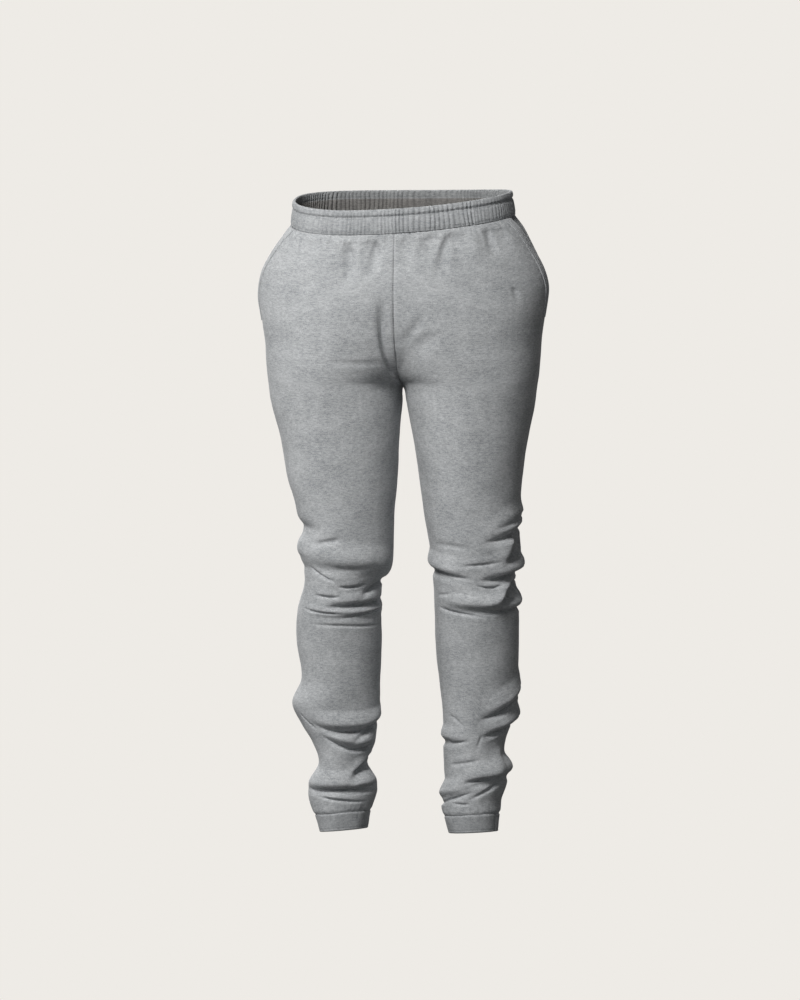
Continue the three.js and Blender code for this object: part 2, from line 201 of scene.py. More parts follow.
# Creases across a leg: angle and height at its start, middle and end, roll above it, depth, width
CREASES = {
    "left": [
        (22, -492, 52, -478, 130, -462, 2.2, 4.2, 14),
        (10, -508, 45, -499, 105, -482, 1.4, 2.6, 10),
        (-62, -509, -23, -511, 6, -515, 0.8, 1.4, 12),
        (-18, -542, 12, -540, 46, -535, 0.9, 2.8, 7),
        (-92, -546, -27, -556, 8, -565, 1.4, 4.2, 8),
        (6, -567, 43, -560, 128, -540, 1.8, 7.0, 12),
        (6, -571, 28, -576, 50, -570, 0.9, 3.6, 6),
        (30, -608, 56, -587, 125, -566, 0.0, 6.0, 13),
        (-2, -610, 40, -612, 130, -604, 1.2, 4.6, 8),
        (-64, -607, -12, -617, 26, -623, 0.7, 3.2, 6),
        (-60, -590, -42, -588, -24, -584, 0.5, 2.2, 7),
        (-30, -582, -8, -586, 20, -592, 0.4, 1.4, 7),
        (-50, -779, -31, -785, -16, -796, 0.6, 1.8, 8),
        (0, -788, 52, -767, 130, -726, 2.2, 5.0, 10),
        (14, -813, 63, -798, 130, -780, 2.2, 5.4, 9),
        (-50, -823, -24, -820, -2, -818, 0.9, 3.0, 7),
        (-52, -857, -12, -852, 22, -846, 0.7, 2.2, 7),
        (-28, -887, 30, -874, 92, -871, 1.4, 5.2, 9),
        (-4, -914, 36, -892, 70, -874, 1.0, 3.8, 12),
        (-105, -921, -29, -908, 8, -896, 0.9, 3.6, 7),
        (-38, -916, -13, -919, 9, -919, 0.8, 2.8, 6),
        (-28, -204, -15, -184, 2, -150, 0.8, 2.6, 17),
        (118, -300, 168, -318, 226, -296, 0.8, 2.2, 16),
        (140, -345, 190, -362, 240, -350, 0.8, 1.6, 16),
        (112, -508, 165, -521, 215, -516, 1.4, 3.6, 10),
        (150, -548, 198, -556, 250, -545, 1.2, 3.8, 9),
        (118, -584, 170, -592, 232, -583, 1.5, 4.6, 9),
        (165, -622, 205, -629, 246, -622, 0.9, 2.8, 8),
        (120, -770, 160, -778, 205, -768, 1.0, 3.0, 9),
        (128, -808, 185, -819, 240, -806, 1.4, 4.4, 9),
        (150, -868, 188, -875, 225, -868, 1.2, 4.0, 8),
        (108, -905, 160, -914, 218, -908, 1.0, 3.4, 8),
    ],
    "right": [
        (-4, -500, 19, -507, 46, -510, 1.6, 3.2, 13),
        (30, -528, 85, -527, 140, -524, 3.2, 0, 13),
        (20, -490, 60, -484, 120, -482, 0.6, 1.2, 14),
        (-52, -541, -14, -547, 30, -541, 1.8, 1.4, 15),
        (2, -569, 22, -562, 52, -544, 1.0, 4.2, 6),
        (-120, -574, -58, -579, -30, -598, 0.8, 9.0, 16),
        (-44, -573, -20, -577, 2, -576, 1.0, 5.4, 6),
        (-10, -593, 14, -592, 38, -590, 1.0, 4.8, 6),
        (-112, -598, -25, -605, 24, -611, 1.6, 6.4, 10),
        (-18, -618, 14, -617, 56, -612, 0.7, 3.8, 5),
        (-106, -613, -38, -620, -4, -628, 1.0, 4.6, 7),
        (-84, -641, -19, -638, 42, -636, 0.7, 2.0, 6),
        (-100, -775, -12, -806, 40, -790, 1.5, 4.4, 10),
        (30, -804, 44, -790, 56, -776, 0.5, 3.4, 7),
        (-104, -790, -47, -811, -18, -824, 0.6, 6.4, 12),
        (-88, -820, -34, -834, 32, -808, 1.2, 5.0, 9),
        (-120, -838, -52, -865, -8, -888, 1.0, 10.0, 18),
        (-95, -888, -11, -895, 92, -900, 1.6, 5.2, 8),
        (-58, -922, -14, -917, 48, -907, 1.0, 4.4, 7),
        (-76, -262, -58, -264, -36, -273, 0.6, 3.2, 8),
        (-40, -226, -16, -229, 14, -225, 0.5, 2.0, 9),
        (120, -294, 175, -314, 228, -300, 0.8, 2.2, 16),
        (128, -352, 172, -366, 230, -356, 0.8, 1.6, 16),
        (120, -500, 172, -512, 240, -506, 1.3, 3.4, 10),
        (112, -545, 160, -556, 205, -552, 1.4, 4.4, 9),
        (150, -570, 200, -577, 250, -566, 1.0, 3.4, 8),
        (118, -610, 168, -619, 222, -611, 1.4, 4.0, 9),
        (115, -775, 160, -784, 200, -778, 1.0, 3.0, 9),
        (150, -822, 200, -830, 244, -818, 1.4, 4.4, 9),
        (112, -838, 150, -843, 190, -838, 0.8, 3.0, 7),
        (130, -880, 185, -888, 236, -880, 1.4, 4.6, 9),
        (150, -922, 190, -926, 222, -921, 0.8, 2.6, 6),
    ],
}

# Soft folds that fall from the waist or run down a leg: top, its angle, bottom, its angle, depth, width
DROPS = {
    "left": [
        (-9, 6, -84, 2, -3, 5),
        (-9, 19, -66, 12, -4, 6),
        (-9, 33, -80, 26, -3, 6),
        (-9, 49, -70, 48, -3, 7),
        (-9, 116, -90, 113, -4, 7),
        (-9, 136, -76, 134, -4, 6),
        (-9, 156, -98, 152, -4, 7),
        (-9, 170, -70, 170, -3, 5),
        (-12, 27, -96, 14, -7, 3.8),
        (-10, 28, -52, 28, -3.8, 2.8),
        (-12, 38, -64, 37, 3.2, 4),
        (-12, 47, -70, 45, -4, 4),
        (-14, 55, -66, 55, -3.2, 6),
        (-176, 2, -262, -52, -3.8, 14),
        (-110, 51, -142, 53, -2.2, 3.5),
        (-806, 18, -838, 12, -2.6, 4),
    ],
    "right": [
        (-9, 12, -84, 7, -4, 6),
        (-9, 23, -78, 17, -3, 6),
        (-9, 40, -64, 38, -2, 6),
        (-9, 112, -84, 110, -4, 7),
        (-9, 131, -74, 130, -4, 6),
        (-9, 149, -98, 145, -4, 7),
        (-9, 166, -80, 163, -3, 6),
        (-18, 23, -104, 13, -7.5, 3.6),
        (-16, 9, -92, 6, -6.6, 3.4),
        (-10, 4, -34, 3, -1.8, 2.2),
        (-10, 8, -32, 7, -1.4, 2),
        (-122, -8, -270, -66, -4, 9),
    ],
}

# Folded edges over a hollow: top, its angle, bottom, its angle, rise, lead before the edge, fall after it
PLEATS = {
    "left": [
        (-490, 66, -546, 40, 6.4, 34, 12),
        (-562, 65, -608, 24, 8, 26, 14),
        (-822, 66, -890, 26, 2.4, 26, 22),
    ],
    "right": [],
}

# A valley beside the front rise seam, down to the crotch: top, end, distance from the seam, depth, width
CROTCH_VALLEY = (-112, -250, 18, 10, 12)

# Levels of the panels' rows, close together where the cloth folds
ZONES = [(BAND_BOTTOM, 46), (-120, 34), (CROTCH, 38), (-470, 112), (-645, 28), (-740, 136), (CUFF_SEAM, 0)]
LEVELS = np.concatenate(
    [np.linspace(a[0], b[0], a[1], endpoint=False) for a, b in zip(ZONES, ZONES[1:])] + [[CUFF_SEAM]]
)
PANEL_COLUMNS = 86
CUFF_COLUMNS = 320

# Camera and backdrop, in metres
CAMERA_AT = (0.8531, -6.9478, 0.060)
CAMERA_AIM = (0, 0, -0.460)
CAMERA_LENS = 162
CAMERA_SHIFT = (-0.003, 0.009)
FLOOR = -0.996
FLOOR_RADIUS = 9
WALL_SWEEP = 3
WALL_TOP = 10

# Lights: place, what it points at, size, power, colour
LIGHTS = {
    "key_light": ((-0.9, -2.65, 1.95), (0, 0, -0.3), 1.1, 134, 0xFFFEFC),
    "fill_light": ((0.6, -5.0, -0.3), (0, 0, -0.4), 2.4, 17, 0xF6FAFF),
    "side_light": ((-4.2, -0.4, 0.2), (0, 0, -0.4), 1.6, 52, 0xFFFFFF),
    "back_light": ((-1.8, 4.4, 2.3), (0, 0, -0.4), 1.8, 215, 0xFFFFFF),
    "back_fill": ((1.0, 5.0, -0.1), (0, 0, -0.4), 2.0, 45, 0xFFFFFF),
}
AIR_COLOR = 0xF2F1EE
AIR_STRENGTH = 0.115


def linear(color):
    """An sRGB colour such as 0xa3a5a7 as linear red, green, blue and alpha."""
    parts = [(color >> shift & 255) / 255 for shift in (16, 8, 0)]
    return [p / 12.92 if p <= 0.04045 else ((p + 0.055) / 1.055) ** 2.4 for p in parts] + [1]


def smooth(x):
    """c^2 (3 - 2c) with c = x kept from 0 to 1."""
    c = np.clip(x, 0, 1)
    return c * c * (3 - 2 * c)


def bell(x):
    """max(0, 1 - x^2)^2: 1 at 0, falling to 0 at 1 and -1."""
    return np.maximum(0, 1 - x * x) ** 2


def mix(a, b, t):
    return a + (b - a) * t


def section(side, height):
    """The oval at each height: a cubic Hermite curve through the side's rows. Gives its centre, half width,
    middle, half depth, and its reach, acos(-centre / half width), from the side seam to the rise seam."""
    rows = SECTIONS[side]
    last = len(rows) - 1
    i = np.clip(np.searchsorted(-rows[:, 0], -height, side="left") - 1, 0, last - 1)
    a, b = rows[i], rows[i + 1]
    step = (b[..., 0] - a[..., 0])[..., None]
    t = np.clip((height[..., None] - a[..., :1]) / step, 0, 1)
    up, down = rows[np.maximum(np.arange(last + 1) - 1, 0)], rows[np.minimum(np.arange(last + 1) + 1, last)]
    slopes = (down - up) / (down - up)[:, :1]
    value = (
        (1 + 2 * t) * (1 - t) ** 2 * a
        + t * (1 - t) ** 2 * step * slopes[i]
        + t**2 * (3 - 2 * t) * b
        + t**2 * (t - 1) * step * slopes[i + 1]
    )
    outer, inner, front, back = (value[..., k] for k in (1, 2, 3, 4))
    centre, half_width = (outer + inner) / 2, (outer - inner) / 2
    reach = np.degrees(np.arccos(-np.clip(centre / half_width, 0, 1)))
    return centre, half_width, (front + back) / 2, (back - front) / 2, reach


def oval_point(side, angle, height, offset):
    """The oval's point at an angle, moved out level along its normal (sin * depth, -cos * width)."""
    centre, half_width, middle, half_depth, _ = section(side, height)
    s, c = np.sin(np.radians(angle)), np.cos(np.radians(angle))
    nx, ny = s * half_depth, -c * half_width
    length = np.hypot(nx, ny)
    corner = 1 + WAIST_SQUARE * smooth((height + 110) / 90) * (2 * s * c) ** 2
    s, c = s * corner, c * corner
    x = centre + half_width * s + nx / length * offset
    y = middle - half_depth * c + ny / length * offset
    return x, y, height + 0 * x


def roll_fold(fold, angle, height):
    """A large fold. Its crease runs from one point to the other plus 4 arch t (1 - t). The cloth above rises
    by roll * bell((a - 0.75) / 1.2), sinks by crease * bell(a / 0.75), and drops 0.3 roll *
    bell((a - 0.5) / 0.9), where a is the height above the crease in fold widths."""
    start, start_height, end, end_height, arch, roll, crease, width = fold
    t = np.mod(angle - start, 360) / (end - start)
    strength = np.where(t < 1, smooth(t / 0.35) * smooth((1 - t) / 0.35), 0)
    a = (height - mix(start_height, end_height, t) - arch * 4 * t * (1 - t)) / width
    lift = strength * (roll * bell((a - 0.75) / 1.2) - crease * bell(a / 0.75))
    return lift, 0.3 * strength * roll * bell((a - 0.5) / 0.9)


def crease_fold(fold, angle, height):
    """A crease on the parabola through its three points. It sinks by depth * bell(a / 0.6)^1.3 below a soft
    roll and a faint lower lip, and fades towards both ends."""
    start, h0, middle, h1, end, h2, roll, depth, width = fold
    t = np.mod(angle - start, 360) / (end - start)
    m = (middle - start) / (end - start)
    bow = (h1 - h0 - (h2 - h0) * m) / (m * (1 - m))
    strength = np.where(t < 1, smooth(t / 0.38) * smooth((1 - t) / 0.38), 0)
    a = (height - mix(h0, h2, t) - bow * t * (1 - t)) / width
    sink = depth * bell(a / 0.6) ** 1.3
    lift = strength * (roll * bell((a - 0.9) / 1.3) + 0.4 * roll * bell((a + 0.9) / 0.9) - sink)
    return lift, 0.5 * strength * roll * bell((a - 0.6) / 0.9)


def drop_fold(fold, angle, height):
    """A falling fold: depth * bell(across), and it widens on its way from top to bottom."""
    top, top_angle, bottom, bottom_angle, depth, width = fold
    t = (height - top) / (bottom - top)
    away = np.mod(angle - mix(top_angle, bottom_angle, t) + 180, 360) - 180
    across = away / (width * (0.8 + 0.5 * np.clip(t, 0, 1)))
    return depth * bell(across) * smooth(t / 0.25) * smooth((1 - t) / 0.7)


def pleat_fold(fold, side, angle, height):
    """A folded edge. The cloth rises towards it by smooth(1 + u / lead)^2, and behind it falls into a hollow
    as deep as the rise is high, with u the degrees past the edge, towards the garment's left."""
    top, top_angle, bottom, bottom_angle, rise, lead, fall = fold
    t = (height - top) / (bottom - top)
    away = np.mod(angle - mix(top_angle, bottom_angle, t) + 180, 360) - 180
    u = away * SIGN[side]
    hollow = mix(1, -1.1, smooth(u / fall)) * smooth(1.9 - u / fall / 2)
    shape = np.where(u < 0, smooth(1 + u / lead) ** 2, hollow)
    return rise * shape * smooth(t / 0.35) * smooth((1 - t) / 0.35)


def unevenness(side, angle, height):
    """Low swells of the worn cloth: products of sines of unlike lengths, 40 to 200 mm."""
    a, p = np.radians(angle), PHASE[side]
    wide = 0.8 * np.sin(2 * a + height / 61 + p) * np.sin(height / 83 + 1.7 * p)
    medium = 0.45 * np.sin(3 * a - height / 29 + 2 * p) * np.sin(height / 41 - a + p)
    small = 0.22 * np.sin(7 * a + height / 17 + p) * np.sin(height / 13 - 4 * a + 3 * p)
    return wide + medium + small


def gather_zone(angle):
    """How strongly the waist is gathered: least at each side, less on the garment's right front."""
    turn = np.mod(angle + 180, 360) - 180
    away = np.abs(turn)
    calm = smooth((away - BAND_SEAM_ANGLE + 1.5) / 3) * smooth((128 - away) / 25)
    front = mix(0.6, 1, smooth((turn + 16) / 12))
    return mix(np.where(away < 90, front, 0.95), 0.25, calm)


def flutes(angle, count, height):
    """Round ridges with narrow valleys, 2 |cos(phase / 2)| - 1, uneven in pitch and depth."""
    a = np.radians(angle)
    phase = count * a + 5.5 * np.sin(3 * a + 0.4) + 3 * np.sin(7 * a + 1.2) + 1.4 * np.sin(17 * a)
    phase = phase + 0.5 * np.sin(height / 8 + 9 * a)
    depth = 0.8 + 0.3 * np.sin(13 * a + 0.5) * np.sin(5 * a + 2) + 0.25 * np.sin(41 * a)
    return (2 * np.abs(np.cos(phase / 2)) - 1) * depth


def mouth_angle(height):
    return 90 - MOUTH_SLANT * np.clip((height - MOUTH_END) / (BAND_BOTTOM - MOUTH_END), 0, 1) ** 1.6


def mouth_gape(angle, height):
    """How far the front panel stands off near the pocket mouth: half a sine down it, a bell along the hip."""
    t = np.clip((BAND_BOTTOM - height) / (BAND_BOTTOM - MOUTH_END), 0, 1)
    away = np.clip((mouth_angle(height) - angle) / MOUTH_GAPE_REACH, 0, 1)
    return MOUTH_GAPE * np.sin(np.pi * t) * bell(away)


def row_height(side, angle, level):
    """Bends a row of the grid towards the large creases near it, by their mean pull."""
    pull, weight = 0, 0.3
    for start, start_height, end, end_height, arch, _, _, _ in ROLLS[side]:
        t = np.mod(angle - start, 360) / (end - start)
        middle = (start_height + end_height) / 2 + arch * 2 / 3
        near = np.where(t < 1, bell((level - middle) / 32) * np.sin(np.pi * np.clip(t, 0, 1)), 0)
        pull = pull + near * (mix(start_height, end_height, t) + arch * 4 * t * (1 - t) - middle)
        weight = weight + near
    return level + pull / weight * smooth((level - CUFF_SEAM) / 30)


def stand(side, x, y, z):
    """Slopes the waist, lifts one hip and tilts the hems, as the garment is carried. In millimetres."""
    waist, band = smooth((z + 165) / 150), smooth((z + 80) / 72)
    hips, hem = smooth((z - CROTCH) / 160), smooth((CUFF_SEAM + 45 - z) / 45)
    cuff = SECTIONS[side][-1]
    x = SIGN[side] * x
    level = WAIST_SLOPE * y - WAIST_DISH * (y / WAIST_DEPTH) ** 2
    tilt = x * (WAIST_TILT - WAIST_TWIST * y / WAIST_DEPTH)
    hem_tilt = HEM_TILT[side] * (x - SIGN[side] * (cuff[1] + cuff[2]) / 2) - HEM_SLOPE * y
    return np.stack([x, y, z + waist * level + band * tilt + hips * HIP_TILT * x + hem * hem_tilt], -1)


def cloth_point(side, angle, height, offset):
    """A point of the folded cloth, an offset out from its outer face."""
    lift, drop = unevenness(side, angle, height), 0
    for make, folds in ((roll_fold, ROLLS[side]), (crease_fold, CREASES[side])):
        for fold in folds:
            out, down = make(fold, angle, height)
            lift, drop = lift + out, drop + down
    for fold in DROPS[side]:
        lift = lift + drop_fold(fold, angle, height)
    for fold in PLEATS[side]:
        lift = lift + pleat_fold(fold, side, angle, height)
    calm = smooth((height - CUFF_SEAM) / 14) * smooth((BAND_BOTTOM - height) / 8)
    under_band = bell((BAND_BOTTOM - height) / 9)
    pucker = 1.1 * bell((BAND_BOTTOM - height) / 30) * (1 - under_band) * gather_zone(angle)
    pucker = pucker * flutes(angle * SIGN[side], 96, height)
    fine = 1.1 * bell((BAND_BOTTOM - 3 - height) / 13) * gather_zone(angle)
    pucker = pucker + fine * flutes(angle * SIGN[side], BAND_GATHERS, height)
    blouse = bell((height - CUFF_SEAM) / 24) * smooth((height - CUFF_SEAM) / 5)
    cuff_gathers = blouse * (1.4 + 0.7 * flutes(angle, 30, height))
    lift = lift * calm + pucker - 0.5 * under_band + cuff_gathers
    x, y, z = oval_point(side, angle, height, offset + lift)
    return stand(side, np.maximum(x, 0), y, z - drop * calm)


def groove(distance, height):
    """A sewn seam near a panel's edge: it dips by a bell, with a low ridge over the seam allowance beside it.
    It is finer above the crotch."""
    size = mix(1, 0.45, smooth((height - CROTCH) / 30))
    pucker = size * (1 + 0.25 * np.sin(height / 4.3) * np.sin(height / 11 + 1))
    reach = SEAM_REACH * size
    return -SEAM_DIP * pucker * bell(distance / reach) + SEAM_RIDGE * pucker * bell((distance - 7) / 5)


def rise_seam(side, distance, height):
    """Above the crotch the two legs' ovals meet at an angle. Cloth spans that valley within d of the seam:
    slope * (d - distance)^2 / 2d, where the slope is that of the oval at the centre line."""
    _, half_width, _, half_depth, reach = section(side, height)
    slope = np.minimum(half_depth / half_width * np.tan(np.radians(np.clip(reach - 90, 0, 60))), 1)
    span = RISE_SPAN * smooth((height - CROTCH) / 60)
    return slope * np.maximum(span - distance, 0) ** 2 / np.maximum(2 * span, 1)


def crotch_valley(distance, height):
    """A valley on the quarter ellipse distance = reach * sqrt(1 - u^2), with cloth puffed beside the seam."""
    top, end, reach, depth, width = CROTCH_VALLEY
    u = np.clip((top - 40 - height) / (top - 40 - end), 0, 1)
    middle = reach * np.sqrt(1 - u**2)
    strength = smooth((top - height) / 70) * smooth((height - end + 14) / 16)
    puff = 0.3 * depth * bell((distance - middle / 2) / np.maximum(middle / 2, 1))
    return strength * (puff - depth * bell((distance - middle) / width))


def arc_lengths(side, angle, height):
    """Millimetres along each row of a grid from its first column, on the smooth oval."""
    x, y, _ = oval_point(side, angle, height, 0)
    step = np.hypot(np.diff(x, axis=1), np.diff(y, axis=1))
    return np.concatenate([np.zeros((len(x), 1)), np.cumsum(step, axis=1)], axis=1)


def grid_quads(rows, columns, closed=False):
    """Quads of a grid of points that runs down and round, anticlockwise seen from outside."""
    across = columns if closed else columns - 1
    r, c = np.meshgrid(np.arange(rows - 1), np.arange(across), indexing="ij")
    n = (c + 1) % columns
    quads = np.stack([r * columns + c, (r + 1) * columns + c, (r + 1) * columns + n, r * columns + n], -1)
    return quads.reshape(-1, 4)


def make_object(name, points, quads, uv, material):
    """A smooth mesh object in metres, with a UV map in metres of cloth."""
    mesh = bpy.data.meshes.new(name)
    mesh.vertices.add(len(points))
    mesh.vertices.foreach_set("co", (points * MM).astype(np.float32).ravel())
    mesh.loops.add(quads.size)
    mesh.loops.foreach_set("vertex_index", quads.astype(np.int32).ravel())
    mesh.polygons.add(len(quads))
    mesh.polygons.foreach_set("loop_start", np.arange(0, quads.size, 4, dtype=np.int32))
    mesh.polygons.foreach_set("use_smooth", np.ones(len(quads), bool))
    layer = mesh.uv_layers.new(name="cloth")
    layer.data.foreach_set("uv", (uv[quads.ravel()] * MM).astype(np.float32).ravel())
    mesh.update(calc_edges=True)
    mesh.materials.append(material)
    thing = bpy.data.objects.new(name, mesh)
    bpy.context.scene.collection.objects.link(thing)
    return thing


def paint_shade_inside(thing, material, inside):
    """Gives the quads marked as inside a finish of their own: a darker one, painted shade for where little
    light reaches inside the garment.
    """
    index = np.zeros(len(inside), np.int32)
    thing.data.polygons.foreach_get("material_index", index)
    index[inside] = len(thing.data.materials)
    thing.data.materials.append(material)
    thing.data.polygons.foreach_set("material_index", index)


def make_wall(name, side, outer, inner, uv, material):
    """A closed shell between two faces, each a grid of rows by columns by 3, with four edges."""
    rows, columns = outer.shape[:2]
    count = rows * columns
    face = grid_quads(rows, columns)
    top = np.arange(columns)
    bottom = (rows - 1) * columns + top
    first = np.arange(rows) * columns
    last = first + columns - 1

    def strip(a):
        return np.stack([a[:-1], a[1:], a[1:] + count, a[:-1] + count], -1)

    quads = np.concatenate(
        [face, face[:, ::-1] + count, strip(top), strip(bottom)[:, ::-1], strip(first)[:, ::-1], strip(last)]
    )
    if side == "right":
        quads = quads[:, ::-1]
    points = np.concatenate([outer.reshape(-1, 3), inner.reshape(-1, 3)])
    both = np.concatenate([uv.reshape(-1, 2), uv.reshape(-1, 2)])
    return make_object(name, points, quads, both, material)


def make_ring(name, side, face, uv, material):
    """A ring with a closed section, from a grid of stations by columns by 3."""
    stations, columns = face.shape[:2]
    quads = grid_quads(stations + 1, columns, closed=True) % (stations * columns)
    if side == "right":
        quads = quads[:, ::-1]
    return make_object(name, face.reshape(-1, 3), quads, uv.reshape(-1, 2), material)


def make_stitches(path, out, length, gap, thread):
    """Stitches along a path on the cloth: spindles of thread, each a little sunk at its ends."""
    step = np.linalg.norm(np.diff(path, axis=0), axis=1)
    along = np.concatenate([[0], np.cumsum(step)])
    count = int(along[-1] // (length + gap))
    centre = (np.arange(count) + 0.5) * (along[-1] / count)

    def at(where, values):
        return np.stack([np.interp(where, along, values[:, k]) for k in range(3)], -1)

    ahead = at(centre + length / 2, path) - at(centre - length / 2, path)
    ahead = ahead / np.linalg.norm(ahead, axis=1, keepdims=True)
    up = at(centre, out)
    up = up - ahead * np.sum(up * ahead, axis=1, keepdims=True)
    up = up / np.linalg.norm(up, axis=1, keepdims=True)
    over = np.cross(ahead, up)
    s = np.linspace(-1, 1, 5)
    size = thread / 2 * np.array([0.25, 0.85, 1, 0.85, 0.25])
    turn = np.arange(6) * np.pi / 3
    middle = at(centre, path)[:, None, None]
    rise = size[:, None] * np.sin(turn) + (thread * 0.3 * (1 - s**2))[:, None]
    points = (
        middle
        + ahead[:, None, None] * (s * length / 2)[None, :, None, None]
        + up[:, None, None] * rise[None, :, :, None]
        + over[:, None, None] * (size[:, None] * np.cos(turn))[None, :, :, None]
    )
    quads = grid_quads(5, 6, closed=True)
    caps = np.array([[0, 1, 2, 3], [3, 4, 5, 0], [27, 26, 25, 24], [24, 29, 28, 27]])
    one = np.concatenate([quads, caps])
    quads = (one[None] + 30 * np.arange(count)[:, None, None]).reshape(-1, 4)
    return points.reshape(-1, 3), quads


def stitch_object(name, rows, length, gap, thread, material):
    """One object of stitches along several paths, each given as its points and the directions outward."""
    points, quads, start = [], [], 0
    for path, out in rows:
        p, q = make_stitches(path, out, length, gap, thread)
        points.append(p)
        quads.append(q + start)
        start += len(p)
    points, quads = np.concatenate(points), np.concatenate(quads)
    return make_object(name, points, quads, points[:, [0, 2]], material)


# Materials


def add_node(tree, kind, inputs=(), **settings):
    """A shader node with its settings, and its inputs as values or as other nodes' outputs."""
    node = tree.nodes.new(kind)
    for key, value in settings.items():
        setattr(node, key, value)
    for key, value in dict(inputs).items():
        if isinstance(value, bpy.types.NodeSocket):
            tree.links.new(value, node.inputs[key])
        else:
            node.inputs[key].default_value = value
    return node


def cloth_noise(tree, uv, scale, detail, roughness=0.5):
    """Noise on the cloth's own map, stretched by a scale in features a metre across and up."""
    mapping = add_node(tree, "ShaderNodeMapping", {"Vector": uv, "Scale": (*scale, 1)})
    noise = add_node(
        tree,
        "ShaderNodeTexNoise",
        {"Vector": mapping.outputs[0], "Scale": 1, "Detail": detail, "Roughness": roughness},
        noise_dimensions="2D",
    )
    return noise.outputs["Fac"]


def add_up(tree, terms, start):
    """start + the sum of gain * (value - 0.5) over the terms."""
    total = None
    for value, gain in terms:
        scaled = {0: value, 1: gain, 2: -gain / 2}
        term = add_node(tree, "ShaderNodeMath", scaled, operation="MULTIPLY_ADD").outputs[0]
        before = start if total is None else total
        total = add_node(tree, "ShaderNodeMath", {0: before, 1: term}, operation="ADD").outputs[0]
    return total


def marl_fleece(name, dark, light, nap):
    """Brushed fleece jersey in heather grey. Light and dark fibres lie in short level streaks 3 to 6 mm long,
    with finer flecks among them and a slow clouding. The knit's ribs and nap are a bump 0.2 mm high."""
    material = bpy.data.materials.new(name)
    material.use_nodes = True
    tree = material.node_tree
    tree.nodes.clear()
    uv = add_node(tree, "ShaderNodeTexCoord").outputs["UV"]
    streaks = cloth_noise(tree, uv, (150, 480), 2, 0.6)
    flecks = cloth_noise(tree, uv, (520, 1200), 1)
    clusters = cloth_noise(tree, uv, (60, 130), 2)
    clouds = cloth_noise(tree, uv, (16, 24), 3)
    amount = add_up(tree, [(streaks, 1.15), (flecks, 1.1), (clusters, 0.5), (clouds, 0.6)], 0.5)
    shades = {"Factor": amount, 6: linear(dark), 7: linear(light)}
    color = add_node(tree, "ShaderNodeMix", shades, data_type="RGBA", clamp_factor=True).outputs[2]
    ribs = add_node(
        tree,
        "ShaderNodeTexWave",
        {"Vector": uv, "Scale": 128, "Distortion": 1.2, "Detail": 2, "Detail Scale": 3},
        wave_type="BANDS",
        bands_direction="X",
    ).outputs["Fac"]
    naps = cloth_noise(tree, uv, (1300, 1300), 3, 0.7)
    lumps = cloth_noise(tree, uv, (130, 170), 3, 0.6)
    relief = add_up(tree, [(ribs, 0.3), (naps, 0.8), (lumps, 1.6)], 0)
    bump = add_node(tree, "ShaderNodeBump", {"Height": relief, "Strength": 0.55, "Distance": 0.00035})
    shader = add_node(
        tree,
        "ShaderNodeBsdfPrincipled",
        {
            "Base Color": color,
            "Roughness": 0.95,
            "Specular IOR Level": 0.15,
            "Sheen Weight": nap,
            "Sheen Roughness": 0.6,
            "Normal": bump.outputs[0],
        },
    )
    add_node(tree, "ShaderNodeOutputMaterial", {"Surface": shader.outputs[0]})
    return material


def plain(name, color, roughness):
    """One even colour, for sewing thread."""
    material = bpy.data.materials.new(name)
    material.use_nodes = True
    shader = material.node_tree.nodes["Principled BSDF"]
    shader.inputs["Base Color"].default_value = linear(color)
    shader.inputs["Roughness"].default_value = roughness
    shader.inputs["Specular IOR Level"].default_value = 0.2
    return material


def glowing(name, color):
    """An even backdrop that keeps its colour in any light."""
    material = bpy.data.materials.new(name)
    material.use_nodes = True
    tree = material.node_tree
    tree.nodes.clear()
    glow = add_node(tree, "ShaderNodeEmission", {"Color": linear(color), "Strength": 1})
    add_node(tree, "ShaderNodeOutputMaterial", {"Surface": glow.outputs[0]})
    return material


BODY = marl_fleece("heather_fleece", 0x85888B, 0xBFC1C3, 0.1)
BAND = marl_fleece("heather_waistband_fleece", 0x7B7E81, 0xB1B3B5, 0.1)
# The header strip inside the back of the waistband: the same fleece, in darker tones that paint the shade
# falling inside the waist.
HEADER_PAINTED_SHADE = marl_fleece("heather_header_painted_shade", 0x6E7072, 0x9C9E9F, 0.05)
CUFF = marl_fleece("heather_cuff_fleece", 0x7F8285, 0xB2B4B6, 0.1)
# The inner faces of the panels and waistband: the brushed back of the fleece, made darker and warmer as
# painted shade for the inside of the garment.
INSIDE_PAINTED_SHADE = marl_fleece("fleece_back_painted_shade", 0x5A5958, 0x878583, 0.05)
BAG = marl_fleece("heather_pocket_jersey", 0x75787B, 0xA6A8AA, 0.05)
THREAD = plain("grey_sewing_thread", 0x9A9C9E, 0.7)


def dress(piece, node=None):
    """The piece moves with the one body, and stands for its solid where it has one, which is then hidden."""
    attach(piece, "root")
    if node:
        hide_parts(node)
    return piece


def front_angles(side, share, level):
    """Angles of the front panel at a share 0 to 1 of the way from its inner seam to its outer edge."""
    reach = section(side, level)[4]
    return mix(90 - reach, mouth_angle(level), share)


def meet(points, other, distance, level, edge):
    """Draws the cloth by the rise seam back, so that the edge of points lies on the centre plane and the two
    legs meet there. The shift fades by a bell away from the seam, and under the crotch."""
    near = bell(distance / MEET_REACH) * smooth((level - CROTCH + MEET_REACH) / MEET_FADE)
    shift = near * points[:, edge][:, :1]
    for face in (points, other):
        face[..., 0] -= shift


